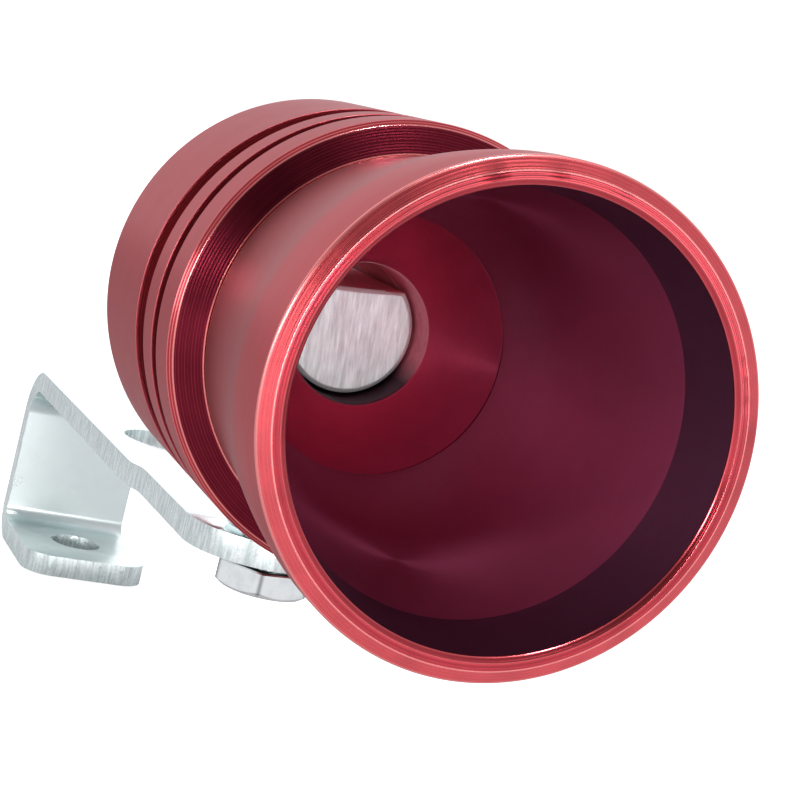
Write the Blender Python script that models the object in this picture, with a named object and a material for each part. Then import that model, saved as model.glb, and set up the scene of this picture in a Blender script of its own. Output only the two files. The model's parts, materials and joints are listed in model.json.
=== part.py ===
"""Exhaust whistle: a flared horn on a grooved barrel, with a U-shaped clip for a pipe's lip.

Metres, +Z up. The origin is on the underside of the clip's strip, at the middle of the place
where a pipe wall bears on it. The clip runs along Y, and its U is open towards -Y. The whistle
sits above the strip with its mouth towards -Y, and it is turned a little about the vertical bolt
that joins it to the clip.
"""
import math

import bmesh
import bpy

MM = 0.001
GAP = 0.3 * MM                     # clearance between pieces that touch in the real object
SIDES = 48                         # facets round each turned piece

# Whistle. Lengths are measured backwards from the plane of the horn's rim.
RIM_R = 22.0 * MM
MOUTH_R = 19.56 * MM
NECK_R = 19.3 * MM                 # narrowest outside radius of the horn, where it meets the barrel
NECK_Y = 28.9 * MM
SPIGOT_R = 17.0 * MM
SPIGOT_END = 36.4 * MM
HORN_CONE = ((7.7 * MM, 18.9 * MM), (SPIGOT_END, 13.1 * MM))   # inside cone: (length, radius)
BARREL_R = 22.5 * MM
BARREL_END = 62.0 * MM
GROOVES = ((35.6 * MM, 37.8 * MM), (41.7 * MM, 45.5 * MM))
GROOVE_DEPTH = 1.5 * MM
EDGE = 0.5 * MM                    # chamfer on the barrel's turned edges
BORE_R = 7.3 * MM
BORE_MOUTH = 42.6 * MM             # where the 45 degree floor meets the bore
REAR_DISH = (12.5 * MM, 19.5 * MM, 1.5 * MM)                   # inner radius, outer radius, depth

# Whistle tube, its fipple block and its cap.
TUBE_R = 9.5 * MM
TUBE_START = 50.6 * MM
TUBE_END = 101.0 * MM
BLOCK_R = 6.9 * MM
BLOCK_START = 46.0 * MM
BLOCK_END = 64.0 * MM
BLOCK_FLAT = 4.2 * MM              # height of the block's flat above the axis
BLOCK_ROLL = math.radians(-6)      # the flat leans this far about the axis
WINDOW_END = 69.2 * MM
WINDOW_RAMP_END = 76.0 * MM
WINDOW_HALF_WIDTH = 5.2 * MM
CAP_R = 10.5 * MM
CAP_THICK = 2.0 * MM
CAP_PLUG_LENGTH = 5.0 * MM

# Bolt and washers. Heights are measured down from the barrel's axis.
BOLT_Y = 54.0 * MM
SEAT_R = 6.7 * MM
SEAT_DEPTH = 21.2 * MM             # flat milled on the barrel's underside
HOLE_TOP = 12.0 * MM
SHANK_R = 3.0 * MM
SHANK_TOP = 13.0 * MM
HOLE_R = SHANK_R + GAP
FLAT_WASHER_R = 6.0 * MM
FLAT_WASHER_THICK = 1.4 * MM
SPRING_WASHER_R = 5.5 * MM
SPRING_WASHER_THICK = 1.2 * MM
SPRING_WASHER_SLOT = 1.0 * MM
HEX_ACROSS = 10.0 * MM
HEX_HEIGHT = 3.0 * MM
HEX_TURN = math.radians(11)

# Clip, in its own frame: lengths run back from the bolt's axis.
STRIP_WIDTH = 17.8 * MM
STRIP_THICK = 2.9 * MM
STRIP_FRONT = -5.0 * MM
CRANK = (22.0 * MM, 30.0 * MM, 0.7 * MM)                       # start, end, drop
WEB_BACK = 87.6 * MM               # outer face of the web
TOP_BEND = 4.0 * MM                # inside radius of the bend over the web
LOW_BEND = 2.0 * MM
FLANGE_FRONT = 66.2 * MM
THROAT = 20.1 * MM                 # clear height between strip and flange
FRONT_CORNER = STRIP_WIDTH / 2     # the strip's free end is a half round
FLANGE_CORNER = 4.0 * MM
STRIP_HOLE = (45.4 * MM, 5.4 * MM)                             # length, radius
FLANGE_HOLE = (75.9 * MM, 3.6 * MM)
SEAT_FROM_BOLT = 69.2 * MM         # from the bolt's axis to the origin

WASHER_TOP = SEAT_DEPTH + GAP
SPRING_TOP = WASHER_TOP + FLAT_WASHER_THICK + GAP
STRIP_TOP = SPRING_TOP + SPRING_WASHER_THICK + GAP
HEAD_TOP = STRIP_TOP + STRIP_THICK + GAP
AXIS_HEIGHT = STRIP_TOP + STRIP_THICK + CRANK[2]               # barrel's axis above the origin
WHISTLE_TURN = math.radians(-3)


def clear_scene():
    for obj in list(bpy.data.objects):
        bpy.data.objects.remove(obj, do_unlink=True)


def material(name, color, roughness, metallic=1.0):
    mat = bpy.data.materials.new(name)
    mat.use_nodes = True
    shader = mat.node_tree.nodes["Principled BSDF"]
    shader.inputs["Base Color"].default_value = (*color, 1.0)
    shader.inputs["Roughness"].default_value = roughness
    shader.inputs["Metallic"].default_value = metallic
    return mat


def empty(name, location, turn=0.0):
    obj = bpy.data.objects.new(name, None)
    obj.location = location
    obj.rotation_euler = (0.0, 0.0, turn)
    bpy.context.scene.collection.objects.link(obj)
    return obj


def solid(name, bm, mat=None, parent=None, location=(0.0, 0.0, 0.0), rotation=(0.0, 0.0, 0.0)):
    """Make one object of a bmesh whose faces already form a closed body."""
    bmesh.ops.recalc_face_normals(bm, faces=bm.faces)
    mesh = bpy.data.meshes.new(name)
    bm.to_mesh(mesh)
    bm.free()
    mesh.shade_smooth()
    mesh.set_sharp_from_angle(angle=math.radians(30))
    obj = bpy.data.objects.new(name, mesh)
    obj.location = location
    obj.rotation_euler = rotation
    obj.parent = parent
    if mat:
        obj.data.materials.append(mat)
    bpy.context.scene.collection.objects.link(obj)
    return obj


def turned(outline, sides=SIDES):
    """Spin a closed outline of (length, radius) points about the Y axis."""
    bm = bmesh.new()
    rings = []
    for length, radius in outline:
        ring = []
        for k in range(sides):
            angle = 2 * math.pi * k / sides
            ring.append(bm.verts.new((radius * math.cos(angle), length, radius * math.sin(angle))))
        rings.append(ring)
    for first, second in zip(rings, rings[1:] + rings[:1]):
        for k in range(sides):
            after = (k + 1) % sides
            bm.faces.new((first[k], first[after], second[after], second[k]))
    return bm


def turned_plug(outline, sides=SIDES):
    """Spin an open outline of (length, radius) points about Y, with a flat cap at each end."""
    bm = bmesh.new()
    rings = []
    for length, radius in outline:
        ring = []
        for k in range(sides):
            angle = 2 * math.pi * k / sides
            ring.append(bm.verts.new((radius * math.cos(angle), length, radius * math.sin(angle))))
        rings.append(ring)
    for first, second in zip(rings, rings[1:]):
        for k in range(sides):
            after = (k + 1) % sides
            bm.faces.new((first[k], first[after], second[after], second[k]))
    bm.faces.new(rings[0])
    bm.faces.new(list(reversed(rings[-1])))
    return bm


def upright(bm):
    """Stand a piece that was spun about Y on end, so that its length points down."""
    for vert in bm.verts:
        x, y, z = vert.co
        vert.co = (x, z, -y)
    return bm


def prism(points, half_width):
    """Extrude a closed (y, z) outline to both sides of the YZ plane."""
    bm = bmesh.new()
    sides = []
    for x in (-half_width, half_width):
        sides.append([bm.verts.new((x, y, z)) for y, z in points])
    count = len(points)
    for k in range(count):
        after = (k + 1) % count
        bm.faces.new((sides[0][k], sides[0][after], sides[1][after], sides[1][k]))
    bm.faces.new(sides[0])
    bm.faces.new(list(reversed(sides[1])))
    return bm


def cut(target, cutter, operation="DIFFERENCE"):
    cutter.hide_render = True
    cutter.display_type = "WIRE"
    modifier = target.modifiers.new(cutter.name, "BOOLEAN")
    modifier.operation = operation
    modifier.solver = "EXACT"
    modifier.object = cutter


def horn_bell(parent, mat):
    """Thin flared horn: chamfered rim, S-shaped flare, and a spigot that enters the barrel."""
    flare_start = 3.0 * MM
    outline = [(-0.1 * MM, MOUTH_R), (-0.4 * MM, 20.0 * MM), (-0.4 * MM, 20.8 * MM), (0.1 * MM, RIM_R)]
    steps = 9
    for k in range(steps + 1):
        part = k / steps
        ease = 0.75 * (3 * part ** 2 - 2 * part ** 3) + 0.25 * part
        outline.append((flare_start + part * (NECK_Y - flare_start), RIM_R - (RIM_R - NECK_R) * ease))
    outline += [(NECK_Y, SPIGOT_R), (SPIGOT_END, SPIGOT_R)]
    outline += [HORN_CONE[1], HORN_CONE[0]]
    return solid("horn_bell", turned(outline), mat, parent, (0.0, -BOLT_Y, 0.0))


def barrel(parent, mat):
    """Thick turned barrel: stepped front, two grooves, a conical floor, a bore and a bolt seat."""
    front = NECK_Y + GAP
    socket = SPIGOT_R + GAP
    floor = SPIGOT_END + GAP
    floor_r = BORE_R + (BORE_MOUTH - floor)
    dish_in, dish_out, dish_depth = REAR_DISH
    outline = [(front, socket), (front, NECK_R), (front + 1.1 * MM, BARREL_R - EDGE)]
    outline.append((front + 1.1 * MM + EDGE, BARREL_R))
    for start, end in GROOVES:
        bottom = BARREL_R - GROOVE_DEPTH
        outline += [(start, BARREL_R), (start, bottom), (end, bottom), (end, BARREL_R)]
    outline += [(BARREL_END - EDGE, BARREL_R), (BARREL_END, BARREL_R - EDGE), (BARREL_END, dish_out)]
    outline += [(BARREL_END - dish_depth, dish_out), (BARREL_END - dish_depth, dish_in)]
    outline += [(BARREL_END, dish_in), (BARREL_END, TUBE_R + GAP)]
    outline += [(TUBE_START - GAP, TUBE_R + GAP), (TUBE_START - GAP, BORE_R)]
    outline += [(BORE_MOUTH, BORE_R), (floor, floor_r), (floor, socket)]
    body = solid("barrel", turned(outline), mat, parent, (0.0, -BOLT_Y, 0.0))

    below = BARREL_R + 1.0 * MM
    seat = turned_plug([(SEAT_DEPTH, SEAT_R), (below, SEAT_R)])
    cut(body, solid("cut_seat", upright(seat), parent=parent))
    hole = turned_plug([(HOLE_TOP, HOLE_R), (below, HOLE_R)], 24)
    cut(body, solid("cut_thread", upright(hole), parent=parent))
    return body


def resonator_tube(parent, mat):
    """Tube with a window cut in its top, whose far edge is ramped down to a thin lip."""
    outline = [(TUBE_START, BORE_R), (TUBE_START, TUBE_R), (TUBE_END, TUBE_R), (TUBE_END, BORE_R)]
    tube = solid("resonator_tube", turned(outline), mat, parent, (0.0, -BOLT_Y, 0.0))
    above = TUBE_R + 2.0 * MM
    window = [(BLOCK_END, 0.0), (WINDOW_END, 0.0), (WINDOW_END, BORE_R + 0.1 * MM)]
    window += [(WINDOW_RAMP_END, TUBE_R), (WINDOW_RAMP_END, above), (BLOCK_END, above)]
    cut(tube, solid("cut_window", prism(window, WINDOW_HALF_WIDTH), None, parent, (0.0, -BOLT_Y, 0.0)))
    return tube


def fipple_block(parent, mat):
    """Round plug with one flat: the air passes between the flat and the bore."""
    chamfer = 0.4 * MM
    outline = [(BLOCK_START, BLOCK_R - chamfer), (BLOCK_START + chamfer, BLOCK_R), (BLOCK_END, BLOCK_R)]
    turn = (0.0, BLOCK_ROLL, 0.0)
    block = solid("fipple_block", turned_plug(outline), mat, parent, (0.0, -BOLT_Y, 0.0), turn)
    high = BLOCK_R + 2.0 * MM
    ends = (BLOCK_START - 2.0 * MM, BLOCK_END + 2.0 * MM)
    flat = [(ends[0], BLOCK_FLAT), (ends[1], BLOCK_FLAT), (ends[1], high), (ends[0], high)]
    cut(block, solid("cut_flat", prism(flat, high), None, parent, (0.0, -BOLT_Y, 0.0), turn))
    return block


def end_cap(parent, mat):
    """Cap that closes the tube's far end: a plug inside the tube and a rim over its end."""
    plug_r = BORE_R - GAP
    rim = TUBE_END + GAP
    edge = 0.4 * MM
    outline = [(TUBE_END - CAP_PLUG_LENGTH, plug_r), (rim, plug_r), (rim, CAP_R)]
    outline += [(rim + CAP_THICK - edge, CAP_R), (rim + CAP_THICK, CAP_R - edge)]
    return solid("end_cap", turned_plug(outline), mat, parent, (0.0, -BOLT_Y, 0.0))


def flat_washer(parent, mat):
    low = WASHER_TOP + FLAT_WASHER_THICK
    outline = [(WASHER_TOP, HOLE_R), (WASHER_TOP, FLAT_WASHER_R), (low, FLAT_WASHER_R), (low, HOLE_R)]
    return solid("flat_washer", upright(turned(outline, 32)), mat, parent)


def spring_washer(parent, mat):
    """Ring with one slot through it."""
    low = SPRING_TOP + SPRING_WASHER_THICK
    outline = [(SPRING_TOP, HOLE_R), (SPRING_TOP, SPRING_WASHER_R)]
    outline += [(low, SPRING_WASHER_R), (low, HOLE_R)]
    ring = solid("spring_washer", upright(turned(outline, 32)), mat, parent)
    top, bottom = 1.0 * MM - SPRING_TOP, -low - 1.0 * MM
    slot = prism([(0.0, bottom), (8.0 * MM, bottom), (8.0 * MM, top), (0.0, top)], SPRING_WASHER_SLOT / 2)
    cut(ring, solid("cut_slot", slot, None, parent))
    return ring


def mounting_bolt(parent, mat):
    """Hexagon bolt, head down, whose shank passes through the clip into the barrel."""
    head = HEX_ACROSS / 2 / math.cos(math.pi / 6)
    low = HEAD_TOP + HEX_HEIGHT
    hexagon = upright(turned_plug([(HEAD_TOP, head), (low, head)], 6))
    bolt = solid("mounting_bolt", hexagon, mat, parent, rotation=(0.0, 0.0, HEX_TURN))
    across = HEX_ACROSS / 2
    slope = (low - 0.9 * MM, head + 0.3 * MM)
    dome = [(HEAD_TOP - 1.0 * MM, head + 0.3 * MM), slope, (low, across - 0.3 * MM)]
    cut(bolt, solid("shape_head", upright(turned_plug(dome)), None, parent), "INTERSECT")
    overlap = HEAD_TOP + 1.0 * MM
    tip = 0.6 * MM
    shank = [(SHANK_TOP, SHANK_R - tip), (SHANK_TOP + tip, SHANK_R), (overlap, SHANK_R)]
    cut(bolt, solid("shape_shank", upright(turned_plug(shank, 24)), None, parent), "UNION")
    return bolt


def clip_path():
    """Middle line of the clip's sheet as (length, height, direction angle, distance from free end).

    It runs back along the strip, over a shallow crank, down the web and forwards along the flange.
    Heights are relative to the strip's underside at the origin.
    """
    half = STRIP_THICK / 2
    crank_start, crank_end, drop = CRANK
    path = []

    def point(length, height, angle):
        path.append((length, height, angle))

    steps = 9
    for k in range(steps + 1):
        point(STRIP_FRONT + FRONT_CORNER * (1 - math.cos(math.pi / 2 * k / steps)), half + drop, 0.0)
    slope = math.atan2(drop, crank_end - crank_start)
    point(crank_start, half + drop, -slope / 2)
    point(crank_end, half, -slope / 2)

    radius = TOP_BEND + half
    centre = (WEB_BACK - STRIP_THICK - TOP_BEND, -TOP_BEND)
    for k in range(9):
        angle = math.pi / 2 * k / 8
        point(centre[0] + radius * math.sin(angle), centre[1] + radius * math.cos(angle), -angle)

    radius = LOW_BEND + half
    centre = (WEB_BACK - STRIP_THICK - LOW_BEND, -THROAT + LOW_BEND)
    for k in range(7):
        angle = math.pi / 2 + math.pi / 2 * k / 6
        point(centre[0] + radius * math.sin(angle), centre[1] + radius * math.cos(angle), -angle)

    for k in range(5, -1, -1):
        length = FLANGE_FRONT + FLANGE_CORNER * (1 - math.cos(math.pi / 2 * k / 5))
        point(length, -THROAT - half, -math.pi)
    return path


def clip_half_width(length, height):
    """Half the sheet's width: full, except at the rounded corners of the two free ends."""
    full = STRIP_WIDTH / 2
    on_strip = height > -THROAT / 2
    corner = FRONT_CORNER if on_strip else FLANGE_CORNER
    inset = corner - (length - (STRIP_FRONT if on_strip else FLANGE_FRONT))
    if inset <= 0:
        return full
    return full - corner + math.sqrt(max(corner ** 2 - inset ** 2, 0.0))


def clip_bracket(mat):
    """Bent sheet: strip, web and flange form a U, with a hole for the bolt and two spare holes."""
    bm = bmesh.new()
    half = STRIP_THICK / 2
    loops = []
    for length, height, angle in clip_path():
        across = clip_half_width(length, height)
        up = (-math.sin(angle) * half, math.cos(angle) * half)
        loop = []
        for side, face in ((-1, 1), (1, 1), (1, -1), (-1, -1)):
            y = length - SEAT_FROM_BOLT + face * up[0]
            loop.append(bm.verts.new((side * across, y, height + face * up[1])))
        loops.append(loop)
    for first, second in zip(loops, loops[1:]):
        for k in range(4):
            after = (k + 1) % 4
            bm.faces.new((first[k], first[after], second[after], second[k]))
    bm.faces.new(list(reversed(loops[0])))
    bm.faces.new(loops[-1])
    clip = solid("clip_bracket", bm, mat)

    reach = 3.0 * MM
    holes = (("bolt", 0.0, HOLE_R, 0.0), ("strip", *STRIP_HOLE, 0.0), ("flange", *FLANGE_HOLE, -THROAT))
    for name, length, radius, height in holes:
        hole = turned_plug([(-height - STRIP_THICK - reach, radius), (-height + STRIP_THICK + reach, radius)], 32)
        place = (0.0, length - SEAT_FROM_BOLT, 0.0)
        cut(clip, solid("cut_" + name, upright(hole), location=place))
    return clip


def build():
    clear_scene()
    red = (0.36, 0.012, 0.02)
    steel = (0.62, 0.64, 0.66)
    swivel = empty("swivel_axis", (0.0, -SEAT_FROM_BOLT, AXIS_HEIGHT), WHISTLE_TURN)
    horn_bell(swivel, material("horn_red", red, 0.3))
    barrel(swivel, material("barrel_red", red, 0.32))
    resonator_tube(swivel, material("tube_aluminium", (0.72, 0.72, 0.73), 0.3))
    fipple_block(swivel, material("block_aluminium", (0.75, 0.75, 0.75), 0.4))
    end_cap(swivel, material("cap_red", red, 0.3))
    flat_washer(swivel, material("washer_steel", steel, 0.35))
    spring_washer(empty("spring_axis", (0.0, -SEAT_FROM_BOLT, AXIS_HEIGHT)), material("spring_steel", steel, 0.4))
    mounting_bolt(swivel, material("bolt_steel", steel, 0.25))
    clip_bracket(material("clip_zinc", (0.66, 0.7, 0.72), 0.28))


build()
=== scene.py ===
"""Looks of the exhaust whistle: fine turned metal, a plated clip and bolt, a pale studio."""
import json
import math
import random

import bmesh
import bpy
from mathutils import Matrix, Vector


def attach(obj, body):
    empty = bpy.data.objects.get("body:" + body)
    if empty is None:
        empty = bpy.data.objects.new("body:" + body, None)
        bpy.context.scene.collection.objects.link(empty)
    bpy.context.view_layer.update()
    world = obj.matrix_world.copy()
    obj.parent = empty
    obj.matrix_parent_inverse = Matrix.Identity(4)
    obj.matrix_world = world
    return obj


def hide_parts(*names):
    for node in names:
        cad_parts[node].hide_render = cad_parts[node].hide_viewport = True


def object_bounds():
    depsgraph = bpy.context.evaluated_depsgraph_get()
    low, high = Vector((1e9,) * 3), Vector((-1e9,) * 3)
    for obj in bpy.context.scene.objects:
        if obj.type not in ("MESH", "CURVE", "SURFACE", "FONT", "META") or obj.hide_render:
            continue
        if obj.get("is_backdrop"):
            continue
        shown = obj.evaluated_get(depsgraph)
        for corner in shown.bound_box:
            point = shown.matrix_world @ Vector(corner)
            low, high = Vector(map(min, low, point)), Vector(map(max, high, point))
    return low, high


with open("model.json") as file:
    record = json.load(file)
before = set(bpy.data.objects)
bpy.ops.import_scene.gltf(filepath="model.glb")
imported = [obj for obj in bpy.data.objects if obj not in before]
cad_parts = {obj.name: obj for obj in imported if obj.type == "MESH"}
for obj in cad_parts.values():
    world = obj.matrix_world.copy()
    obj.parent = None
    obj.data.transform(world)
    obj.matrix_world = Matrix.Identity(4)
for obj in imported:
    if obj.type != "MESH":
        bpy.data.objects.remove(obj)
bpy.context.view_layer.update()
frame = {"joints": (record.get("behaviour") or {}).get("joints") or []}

MM = 0.001
GAP = 0.3 * MM
ROUND = 224                        # steps round a large turned piece
ROUND_SMALL = 128

# The whistle's own frame: lengths run back from the horn's rim along its axis.
SWIVEL = Vector(next(j for j in frame["joints"] if j["name"] == "bracket_swivel")["pos_m"])
BOLT_Y = 54.0 * MM
TURN = math.radians(-3)
ON_BOLT = Matrix.Translation(SWIVEL) @ Matrix.Rotation(TURN, 4, "Z")
WHISTLE = ON_BOLT @ Matrix.Translation((0.0, -BOLT_Y, 0.0))
CLIP = Matrix.Translation((0.0, SWIVEL.y, 0.0))

RIM_R = 22.0 * MM
RIDGE_R = 20.8 * MM                # the ridge that stands foremost on the rim
RIDGE_HEIGHT = 0.4 * MM
INNER_BEVEL_R = 20.05 * MM
MOUTH_R = 19.56 * MM
FLARE_START = 3.0 * MM
NECK_R = 19.3 * MM
NECK_Y = 28.9 * MM
SPIGOT_R = 17.0 * MM
SPIGOT_END = 36.4 * MM
BAND_END = (7.7 * MM, 18.9 * MM)
THROAT_R = 13.1 * MM
BARREL_R = 22.5 * MM
BARREL_END = 62.0 * MM
FACE_DEPTH = 1.1 * MM              # how far the barrel's turned front face slopes back
BARREL_CHAMFER = 0.5 * MM
BACK_RECESS = (12.5 * MM, 19.5 * MM)
BACK_RECESS_DEPTH = 1.5 * MM
GROOVES = ((35.6 * MM, 37.8 * MM), (41.7 * MM, 45.5 * MM))
GROOVE_DEPTH = 1.5 * MM
BORE_R = 7.3 * MM
BORE_MOUTH = 42.6 * MM
BORE_LIP = 0.9 * MM
TUBE_R = 9.5 * MM
TUBE_START = 50.6 * MM
TUBE_END = 101.0 * MM
BLOCK_R = 6.9 * MM
BLOCK_START = 46.0 * MM
BLOCK_END = 64.0 * MM
BLOCK_FLAT = 4.2 * MM
BLOCK_ROLL = math.radians(-6)
WINDOW_END = 69.2 * MM
WINDOW_RAMP_END = 76.0 * MM
WINDOW_HALF_WIDTH = 5.2 * MM
CAP_R = 10.5 * MM
CAP_THICK = 2.0 * MM
CAP_PLUG = 5.0 * MM
CAP_RING = (4.2 * MM, 4.6 * MM)
CAP_DISH = 0.5 * MM

# Depths below the barrel's axis.
SEAT_DEPTH = 21.2 * MM
SEAT_R = 6.7 * MM
WASHER_TOP = SEAT_DEPTH + GAP
FLAT_WASHER_THICK = 1.4 * MM
FLAT_WASHER_R = 6.0 * MM
SPRING_TOP = WASHER_TOP + FLAT_WASHER_THICK + GAP
SPRING_WASHER_THICK = 1.2 * MM
SPRING_WASHER_R = 5.5 * MM
STRIP_THICK = 2.9 * MM
HEAD_TOP = SPRING_TOP + SPRING_WASHER_THICK + GAP + STRIP_THICK + GAP
SHANK_R = 3.0 * MM
SHANK_TOP = 13.0 * MM
PITCH = 1.0 * MM
HEX_ACROSS = 10.0 * MM
HEX_HEIGHT = 3.0 * MM
HEX_TURN = math.radians(11)

# Clip, lengths back from the bolt's axis, heights above the underside of its strip.
STRIP_WIDTH = 17.8 * MM
STRIP_FRONT = -5.0 * MM
CRANK = (22.0 * MM, 30.0 * MM, 0.7 * MM)
WEB_BACK = 87.6 * MM
TOP_BEND = 4.0 * MM
LOW_BEND = 2.0 * MM
FLANGE_FRONT = 66.2 * MM
CLIP_THROAT = 20.1 * MM
FRONT_CORNER = STRIP_WIDTH / 2
FLANGE_CORNER = 4.0 * MM
STRIP_HOLE = (45.4 * MM, 5.4 * MM)
FLANGE_HOLE = (75.9 * MM, 3.6 * MM)
BOLT_HOLE = (0.0, SHANK_R + GAP)

# The room that lights the object: its tone by direction, from behind the object (0) to FRONT (1).
FRONT = Vector((-0.42, -0.9, 0.1)).normalized()
ROOM_STRENGTH = 1.35
ROOM_TONES = ((0.0, 1.0), (0.5, 0.5), (0.75, 0.42), (0.9, 0.24), (0.985, 0.09))
ROOM_BLUE = 1.03
BACKGROUND_STRENGTH = 1.1          # only what the camera sees
FLOOR_GLOW = 0.85
FLOOR_TONE = (0.68, 0.69, 0.7)
FLOOR_HALF_SIZE = 8.0

# Lights, each aimed at the rim: name, direction from the rim, distance and diameter in metres, watts.
LIGHTS = (
    ("high", (-0.05, -0.5, 0.86), 0.5, 0.06, 1.0),
    ("left", (-0.78, -0.62, 0.14), 0.5, 0.1, 0.65),
    ("card", (-0.95, -0.28, 0.02), 0.5, 0.2, 0.3),
    ("mouth", (-0.1, -0.995, 0.0), 0.5, 0.08, 0.72),
    ("fill", (0.42, -0.9, 0.0), 0.6, 0.2, 0.2),
)

# The camera, in the whistle's frame.
CAMERA_AT = Vector((-64.5, -138.7, 19.8)) * MM
CAMERA_AZIMUTH = math.radians(-21.25)
CAMERA_ELEVATION = math.radians(7.51)
CAMERA_ROLL = math.radians(-14.42)
CAMERA_LENS = 85.5


# ---------------------------------------------------------------- materials

class Paint:
    """A Principled material and short ways to wire nodes into it."""

    def __init__(self, name, color, rough, metallic=1.0, coat=0.0, coat_rough=0.2, coat_ior=1.6,
                 aniso=0.0, edge_tint=1.0):
        self.mat = bpy.data.materials.new(name)
        self.mat.use_nodes = True
        self.tree = self.mat.node_tree
        self.shader = self.tree.nodes["Principled BSDF"]
        settings = {"Base Color": (*color, 1.0), "Roughness": rough, "Metallic": metallic,
                    "Coat Weight": coat, "Coat Roughness": coat_rough, "Coat IOR": coat_ior,
                    "Anisotropic": aniso, "Specular Tint": (edge_tint, edge_tint, edge_tint, 1.0)}
        for socket, value in settings.items():
            self.shader.inputs[socket].default_value = value
        self.last_bump = None

    def node(self, kind, links=None, **values):
        node = self.tree.nodes.new(kind)
        for key, value in values.items():
            if key.startswith("in_"):
                node.inputs[int(key[3:])].default_value = value
            else:
                setattr(node, key, value)
        for target, source in (links or {}).items():
            self.tree.links.new(source, node.inputs[target])
        return node

    def math(self, operation, a, b=0.0, clamp=False):
        node = self.node("ShaderNodeMath", operation=operation, use_clamp=clamp)
        for k, value in enumerate((a, b)):
            if isinstance(value, (int, float)):
                node.inputs[k].default_value = value
            else:
                self.tree.links.new(value, node.inputs[k])
        return node.outputs[0]

    def uv(self):
        """(around, along): turns round the axis, and metres along the turned outline."""
        coords = self.node("ShaderNodeTexCoord")
        split = self.node("ShaderNodeSeparateXYZ", {0: coords.outputs["UV"]})
        return split.outputs[0], split.outputs[1]

    def position(self):
        return self.node("ShaderNodeTexCoord").outputs["Object"]

    def noise(self, vector, scale, detail=3.0, rough=0.5, stretch=None):
        if stretch:
            scaled = self.node("ShaderNodeVectorMath", {0: vector}, operation="MULTIPLY", in_1=stretch)
            vector = scaled.outputs[0]
        node = self.node("ShaderNodeTexNoise", {0: vector})
        node.inputs["Scale"].default_value = scale
        node.inputs["Detail"].default_value = detail
        node.inputs["Roughness"].default_value = rough
        return node.outputs[0]

    def line_noise(self, value, scale, detail=2.0):
        """Noise that changes only along one value, such as the marks of a turning tool."""
        node = self.node("ShaderNodeTexNoise", noise_dimensions="1D")
        self.tree.links.new(self.math("MULTIPLY", value, scale), node.inputs["W"])
        node.inputs["Scale"].default_value = 1.0
        node.inputs["Detail"].default_value = detail
        return node.outputs[0]

    def spread(self, value, low, high, out_low=0.0, out_high=1.0):
        """Map low..high to out_low..out_high, clamped."""
        node = self.node("ShaderNodeMapRange", {0: value}, in_1=low, in_2=high,
                         in_3=out_low, in_4=out_high)
        return node.outputs[0]

    def mix(self, factor, first, second):
        """Blend two colours, each an RGB tuple or a socket."""
        node = self.node("ShaderNodeMix", data_type="RGBA")
        self.tree.links.new(factor, node.inputs[0])
        for socket, value in ((node.inputs[6], first), (node.inputs[7], second)):
            if isinstance(value, tuple):
                socket.default_value = (*value, 1.0)
            else:
                self.tree.links.new(value, socket)
        return node.outputs[2]

    def bump(self, height, depth, strength=1.0):
        """Add relief `depth` metres deep on top of the bumps added before."""
        node = self.node("ShaderNodeBump", {"Height": height})
        node.inputs["Strength"].default_value = strength
        node.inputs["Distance"].default_value = depth
        if self.last_bump:
            self.tree.links.new(self.last_bump, node.inputs["Normal"])
        self.last_bump = node.outputs[0]
        self.tree.links.new(self.last_bump, self.shader.inputs["Normal"])

    def color(self, source):
        self.tree.links.new(source, self.shader.inputs["Base Color"])

    def roughness(self, source):
        self.tree.links.new(source, self.shader.inputs["Roughness"])

    def height(self):
        return self.node("ShaderNodeSeparateXYZ", {0: self.position()}).outputs[2]

    def edge_wear_and_painted_light(self):
        """1 on the fillets and corners that the mesh's "edge" attribute marks: wear on most pieces, a
        painted highlight on the block's bevel and a painted dark reflection on the bolt head's corners.
        """
        return self.node("ShaderNodeAttribute", attribute_name="edge").outputs["Fac"]


def turned_red(name, color, wear_and_painted_light, rough, depth, pitch=0.3 * MM, coat=0.4, shine=0.0,
               edge_wear=0.7, grain=0.4, blotch=0.82):
    """Anodised metal with the rings that a turning tool leaves, one every `pitch` along the outline.

    depth is the height of the rings and grain that of the finer marks, as a part of depth. shine is how
    much of the lighter colour the crests of the rings take as a painted highlight, and edge_wear how
    much the fillets take as wear.
    blotch is the brightness of the colour's darker clouds.
    """
    paint = Paint(name, color, rough, 1.0, coat, 0.15, 1.6, 0.4, 0.6)
    along = paint.uv()[1]
    drift = paint.math("MULTIPLY", paint.line_noise(along, 900.0), 5.0)
    phase = paint.math("ADD", paint.math("MULTIPLY", along, 2 * math.pi / pitch), drift)
    ring = paint.spread(paint.math("SINE", phase), -1.0, 1.0)
    fine = paint.line_noise(along, 3.0 / pitch)
    cloud = paint.noise(paint.position(), 300.0)
    broken = paint.spread(fine, 0.35, 0.65, 0.3, 1.0)
    # Ring crests take the lighter colour: a painted highlight along the rings.
    crest_highlight = paint.math("MULTIPLY", paint.spread(ring, 0.75, 1.0), broken)
    wear_and_highlight_mask = paint.math("ADD", paint.math("MULTIPLY", paint.edge_wear_and_painted_light(), edge_wear),
                           paint.math("MULTIPLY", crest_highlight, shine), clamp=True)
    tint = paint.mix(paint.spread(cloud, 0.35, 0.7), color, tuple(c * blotch for c in color))
    paint.color(paint.mix(wear_and_highlight_mask, tint, wear_and_painted_light))
    paint.roughness(paint.spread(fine, 0.25, 0.75, rough * 0.75, rough * 1.3))
    paint.bump(ring, depth)
    paint.bump(fine, depth * grain, 0.7)
    return paint.mat


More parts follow.
